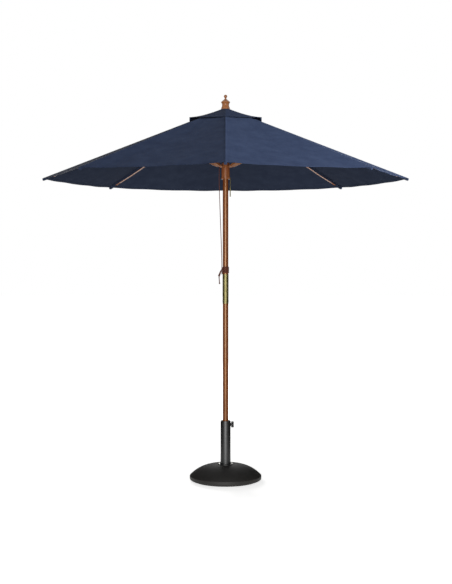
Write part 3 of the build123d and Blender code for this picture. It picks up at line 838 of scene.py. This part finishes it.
def cord_mesh(name, points):
    """The same cord as a mesh, and the points of its line."""
    tube = cord_curve("tube", points, CORD_DIAMETER / 2)
    line = cord_curve("line", points, 0)
    bpy.context.view_layer.update()
    ready = bpy.context.evaluated_depsgraph_get()
    mesh = bpy.data.meshes.new_from_object(tube.evaluated_get(ready))
    path = [v.co.copy() for v in bpy.data.meshes.new_from_object(line.evaluated_get(ready)).vertices]
    for helper in (tube, line):
        bpy.data.objects.remove(helper)
    mesh.name = name
    mesh.shade_smooth()
    made = bpy.data.objects.new(name, mesh)
    bpy.context.scene.collection.objects.link(made)
    return made, path


print("the cord's plane stands at", math.degrees(CORD_SIDE), "degrees")

# %% [markdown]
# The route climbs one side of the pole from the runner, turns over the sheave and comes down the other
# side in a bow. When the frame closes, the runner comes down past it, and the short climbing side can't
# follow the runner down.

# %% Pull cord
ON_POLE = 0.0218
RUNNER_TOP = 2.1722
SHEAVE_HEIGHT = 2.455
SHEAVE_CROWN = ON_POLE * 1.02
CROWN_REACH = ON_POLE * 0.42
SHOULDER_RISE = 0.009
INNER_DROP, OUTER_DROP = 0.030, 0.040
BOW_TOP, BOW_LENGTH = 2.1299, 0.130
BOW_REACH = (0.0480, 0.0466)
LEAD_TOP, LEAD_EASE = 1.4838, 0.040
LEAD_REACH = 0.0273
pull_route = [
    in_cord_plane(-ON_POLE, RUNNER_TOP),
    in_cord_plane(-ON_POLE, SHEAVE_HEIGHT - INNER_DROP),
    in_cord_plane(-ON_POLE, SHEAVE_HEIGHT + SHOULDER_RISE),
    in_cord_plane(-CROWN_REACH, SHEAVE_HEIGHT + SHEAVE_CROWN),
    in_cord_plane(CROWN_REACH, SHEAVE_HEIGHT + SHEAVE_CROWN),
    in_cord_plane(ON_POLE, SHEAVE_HEIGHT + SHOULDER_RISE),
    in_cord_plane(ON_POLE, SHEAVE_HEIGHT - OUTER_DROP),
    in_cord_plane(BOW_REACH[0], BOW_TOP),
    in_cord_plane(BOW_REACH[1], BOW_TOP - BOW_LENGTH),
    in_cord_plane(LEAD_REACH, LEAD_TOP + LEAD_EASE),
    in_cord_plane(LEAD_REACH, LEAD_TOP),
]
pull_cord, pull_path = cord_mesh("pull_cord_braid", pull_route)
pull_length = sum((b - a).length for a, b in zip(pull_path, pull_path[1:]))
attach(pull_cord, "upper_pole")
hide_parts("pull_cord")
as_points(pull_path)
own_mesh(pull_cord)
print(f"pull cord: {pull_length:.3f} m")

# %% [markdown]
# The winding goes down beside its own turns, turns in under them and climbs the pole clockwise. Twelve
# control points or more to a turn keep a NURBS coil round. A spline of order 3 runs a little inside its
# control points, so they stand out by the matching amount: 1 / cos of half a step.

# %% Winding and tail
TURNS = 8
WINDING_BOTTOM = 1.424
WINDING_PITCH = 0.0056
LEAD_MIDDLE, LEAD_FOOT = 0.030, 0.004
LEAD_TURN_IN = math.radians(60)
POINTS_A_TURN = 16
TAIL_RUN_OUT = 0.014
TAIL_STEPS = [
    (-0.0240, -0.0006, -0.0080),
    (-0.0295, -0.0009, -0.0220),
]
total_turn = math.radians(TURNS * 360) + CORD_SIDE - LEAD_TURN_IN + math.pi / 2
count = round(total_turn / (2 * math.pi) * POINTS_A_TURN)
coil_reach = ON_POLE / math.cos(total_turn / count / 2)


def winding_point(turned, reach):
    """Point of the coil after this much turning, clockwise and up."""
    angle = CORD_SIDE - LEAD_TURN_IN - turned
    height = WINDING_BOTTOM + WINDING_PITCH * turned / (2 * math.pi)
    return Vector((reach * math.cos(angle), reach * math.sin(angle), height))


winding_route = [
    in_cord_plane(LEAD_REACH, LEAD_TOP),
    in_cord_plane(LEAD_REACH, LEAD_TOP - LEAD_MIDDLE),
    in_cord_plane(LEAD_REACH, WINDING_BOTTOM + LEAD_FOOT),
]
coil = [winding_point(total_turn * step / count, coil_reach) for step in range(count + 1)]
tail_start = winding_point(total_turn, ON_POLE)
tail_way = (coil[-1] - coil[-2]).normalized()
tail = [tail_start + tail_way * TAIL_RUN_OUT] + [tail_start + Vector(step) for step in TAIL_STEPS]
print("winding:", len(coil), "control points on", TURNS, "turns")

# %% [markdown]
# Between the straight lead and the coil the cord bends through a small dip below the lowest turn. Two more
# control points give that bend. Lead, coil and tail are one spline, because they are one cord.

# %% Winding as one curve
LEAD_DIP = 0.007
TURN_IN_ANGLE = math.radians(-30)
TURN_IN_REACH = 0.0262
TURN_IN_DIP = Vector((0, 0, 0.0055))
turn_in = [
    in_cord_plane(LEAD_REACH, WINDING_BOTTOM - LEAD_DIP),
    winding_point(TURN_IN_ANGLE, TURN_IN_REACH) - TURN_IN_DIP,
]
winding = cord_curve("cord_winding_braid", winding_route + turn_in + coil + tail, CORD_DIAMETER / 2)
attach(winding, "upper_pole")
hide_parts("cord_winding", "cord_tail")
print("one spline of", len(winding.data.splines[0].points), "points from lead to tail")

# %% [markdown]
# The tail ends in a long wrapped knot: the cord goes round itself in close turns. A spin with a step along
# its axis turns one section of the cord into those turns. A straight core fills them, and below hangs the
# cord's short end with a bead of melted fibre.

# %% Wrapped knot
KNOT_LENGTH = 0.050
KNOT_REACH = 0.0049
KNOT_TURNS = 8
KNOT_STEPS = 20
KNOT_NARROW = 0.72
END_DROP = Vector((0.004, 0, -0.050))
END_RADIUS = 0.0032
BEAD_RADIUS = 0.0052
END_OVERLAP = 0.0075


def rod(bm, start, end, radius):
    """Closed round bar between two points."""
    run = end - start
    turn = run.to_track_quat("Z", "Y").to_matrix().to_4x4()
    place = Matrix.Translation((start + end) / 2) @ turn
    bmesh.ops.create_cone(
        bm,
        cap_ends=True,
        segments=12,
        radius1=radius,
        radius2=radius,
        depth=run.length,
        matrix=place,
    )


knot_top = tail[-1]
knot_way = (tail[-1] - tail[-2]).normalized()
bm = bmesh.new()
upright = Matrix.Translation((KNOT_REACH, 0, CORD_DIAMETER)) @ Matrix.Rotation(math.pi / 2, 4, "X")
bmesh.ops.create_circle(bm, segments=10, radius=CORD_DIAMETER / 2, matrix=upright)
wrap_steps = KNOT_TURNS * KNOT_STEPS
climb = (KNOT_LENGTH - 2 * CORD_DIAMETER) / wrap_steps
bmesh.ops.spin(
    bm,
    geom=list(bm.verts) + list(bm.edges),
    cent=(0, 0, 0),
    axis=(0, 0, 1),
    dvec=(0, 0, climb),
    angle=2 * math.pi * KNOT_TURNS,
    steps=wrap_steps,
)
bmesh.ops.holes_fill(bm, edges=[e for e in bm.edges if e.is_boundary])
for vert in bm.verts:
    swell = KNOT_NARROW + (1 - KNOT_NARROW) * min(1, max(0, vert.co.z / KNOT_LENGTH))
    vert.co.x *= swell
    vert.co.y *= swell
bmesh.ops.recalc_face_normals(bm, faces=bm.faces)
bm.transform(Matrix.Translation(knot_top) @ knot_way.to_track_quat("Z", "Y").to_matrix().to_4x4())
knot_low = knot_top + knot_way * (KNOT_LENGTH - CORD_DIAMETER)
end_start = knot_top + knot_way * (KNOT_LENGTH - END_OVERLAP)
rod(bm, knot_top, knot_low, CORD_DIAMETER / 2)
rod(bm, end_start, end_start + END_DROP, END_RADIUS)
bead = Matrix.Translation(end_start + END_DROP)
bmesh.ops.create_uvsphere(bm, u_segments=14, v_segments=10, radius=BEAD_RADIUS, matrix=bead)
knot = mesh_object("cord_knot_wraps", bm, cord_braid)
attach(knot, "upper_pole")
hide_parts("cord_knot")
print("knot of", KNOT_TURNS, "wraps,", len(knot.data.polygons), "faces")

# %% [markdown]

# %% [markdown]
# ## Floor and light
# The photograph has a plain white ground. To the eye, and in reflections, the floor is white. To the light
# that it throws up under the canopy it is a warm grey, with a little glow of its own as a fill light,
# because that underside is dark and a little warm in the photograph. For the eye the floor also glows more
# the further it is from the foot, so that it runs into the white surround with no line between them, and
# near the foot the soft shadow stays.

# %% White floor
FLOOR_EYE = "#f4f4f2"
FLOOR_BOUNCE = "#dccebc"
SHADOW_RADIUS = 0.45
WHITE_RADIUS = 1.30
NEAR_GLOW = 0.68
FLOOR_FILL = 0.18
FILL_TINT = "#fff0d8"
WHITE = (1, 1, 1, 1)
FLOOR_HALF = 40


def seen_by_eye(tree):
    """1 for rays from the camera, a reflection or a clear material, and 0 for the light that bounces."""
    path = add_node(tree, "LightPath", {}, {})
    adding = {"operation": "ADD", "use_clamp": True}
    direct = {0: path.outputs["Is Camera Ray"], 1: path.outputs["Is Transmission Ray"]}
    some = add_node(tree, "Math", adding, direct)
    both = {0: some.outputs["Value"], 1: path.outputs["Is Glossy Ray"]}
    return add_node(tree, "Math", adding, both).outputs["Value"]


floor_material, tree, shader = new_material("pale_studio_floor", Roughness=0.9, Specular_IOR_Level=0.0)
seen = seen_by_eye(tree)
tint = add_node(
    tree,
    "MixRGB",
    {},
    {"Fac": seen, "Color1": linear(FLOOR_BOUNCE), "Color2": linear(FLOOR_EYE)},
)
spot = add_node(tree, "TexCoord", {}, {}).outputs["Object"]
away = add_node(tree, "VectorMath", {"operation": "LENGTH"}, {0: spot})
glow = add_node(
    tree,
    "MapRange",
    {"interpolation_type": "SMOOTHSTEP"},
    {
        "Value": away.outputs["Value"],
        "From Min": SHADOW_RADIUS,
        "From Max": WHITE_RADIUS,
        "To Min": NEAR_GLOW,
    },
)
shown = add_node(
    tree,
    "MapRange",
    {},
    {"Value": seen, "To Min": FLOOR_FILL, "To Max": glow.outputs["Result"]},
)
warmth = add_node(
    tree,
    "MixRGB",
    {},
    {"Fac": seen, "Color1": linear(FILL_TINT), "Color2": WHITE},
)
tree.links.new(warmth.outputs["Color"], shader.inputs["Emission Color"])
tree.links.new(tint.outputs["Color"], shader.inputs["Base Color"])
tree.links.new(shown.outputs["Result"], shader.inputs["Emission Strength"])
bm = bmesh.new()
bmesh.ops.create_grid(bm, x_segments=1, y_segments=1, size=FLOOR_HALF)
floor = mesh_object("studio_floor", bm, floor_material)
print(f"floor {2 * FLOOR_HALF} m wide, white from {WHITE_RADIUS} m out")

# %% [markdown]
# The world is white to the eye and in reflections, and gives only a weak even light, so that the lamps do
# the shading.

# %% White surround
SURROUND = 0.17
world = bpy.data.worlds.new("white_studio")
bpy.context.scene.world = world
world.use_nodes = True
tree = world.node_tree
strength = add_node(tree, "MapRange", {}, {"Value": seen_by_eye(tree), "To Min": SURROUND, "To Max": 1.0})
tree.nodes["Background"].inputs["Color"].default_value = WHITE
tree.links.new(strength.outputs["Result"], tree.nodes["Background"].inputs["Strength"])
print("surround lights the object at", SURROUND)

# %% [markdown]
# Round tubes in the photograph are bright in the middle, which is a lamp near the camera. A second lamp
# from the right makes the canopy's right panels paler than its left ones. In a studio, flags keep that lamp
# off the pole. Here light linking does: the lamp reaches only the cloth. A third lamp lights the back, for
# views from there.

# %% Lamps
CLOTH_PIECES = ("canopy_strip", "vent_cap_strip", "rib_sleeve", "tip_pocket")


def softbox(name, place, target, size, watts, mirrored):
    """Area lamp of a width and a height that faces a point, and that shiny surfaces mirror or not."""
    lamp = bpy.data.lights.new(name, "AREA")
    lamp.shape = "RECTANGLE"
    lamp.size, lamp.size_y = size
    lamp.energy = watts
    made = bpy.data.objects.new(name, lamp)
    made.location = place
    made.rotation_euler = (Vector(target) - Vector(place)).to_track_quat("-Z", "Y").to_euler()
    made.visible_glossy = mirrored
    bpy.context.scene.collection.objects.link(made)
    return made


key = softbox(
    "key_right",
    place=(5.4, -1.9, 4.0),
    target=(0, 0, 2.2),
    size=(2.0, 2.0),
    watts=570,
    mirrored=False,
)
softbox(
    "front_soft",
    place=(-0.5, -9.2, 1.4),
    target=(0, 0, 1.3),
    size=(4.0, 2.6),
    watts=500,
    mirrored=True,
)
softbox(
    "back_soft",
    place=(-2.0, 7.5, 3.6),
    target=(0, 0, 1.6),
    size=(3.0, 2.0),
    watts=330,
    mirrored=False,
)
on_cloth = bpy.data.collections.new("lit_by_key")
for piece in list(bpy.context.scene.objects):
    if piece.name.startswith(CLOTH_PIECES):
        on_cloth.objects.link(piece)
key.light_linking.receiver_collection = on_cloth
bpy.context.scene.view_settings.view_transform = "Standard"

# %% [markdown]
# The tubes are dark at both edges, because there they mirror the dark sides of a studio. Two black cards
# stand in for those sides. They show only in reflections: for the camera, for shadows and for bounced light
# they aren't there.

# %% Dark cards
CARD_DISTANCE = 0.8
CARD_HALF_SIZE = (1.1, 2.65, 1)
CARD_MIDDLE = (1.15, 1.1)
card_material, tree, shader = new_material("black_felt_card", Roughness=0.95, Specular_IOR_Level=0.0)
shader.inputs["Base Color"].default_value = linear("#0a0a0a")
for side in (-1, 1):
    bm = bmesh.new()
    bmesh.ops.create_grid(bm, x_segments=1, y_segments=1, size=1)
    bmesh.ops.scale(bm, verts=bm.verts, vec=CARD_HALF_SIZE)
    upright = Matrix.Rotation(math.pi / 2, 4, "Y")
    bm.transform(Matrix.Translation((side * CARD_DISTANCE, *CARD_MIDDLE)) @ upright)
    card = mesh_object("dark_card_right" if side > 0 else "dark_card_left", bm, card_material)
    card.visible_camera = False
    card.visible_diffuse = False
    card.visible_transmission = False
    card.visible_shadow = False
print(f"two cards, {2 * CARD_DISTANCE} m apart")
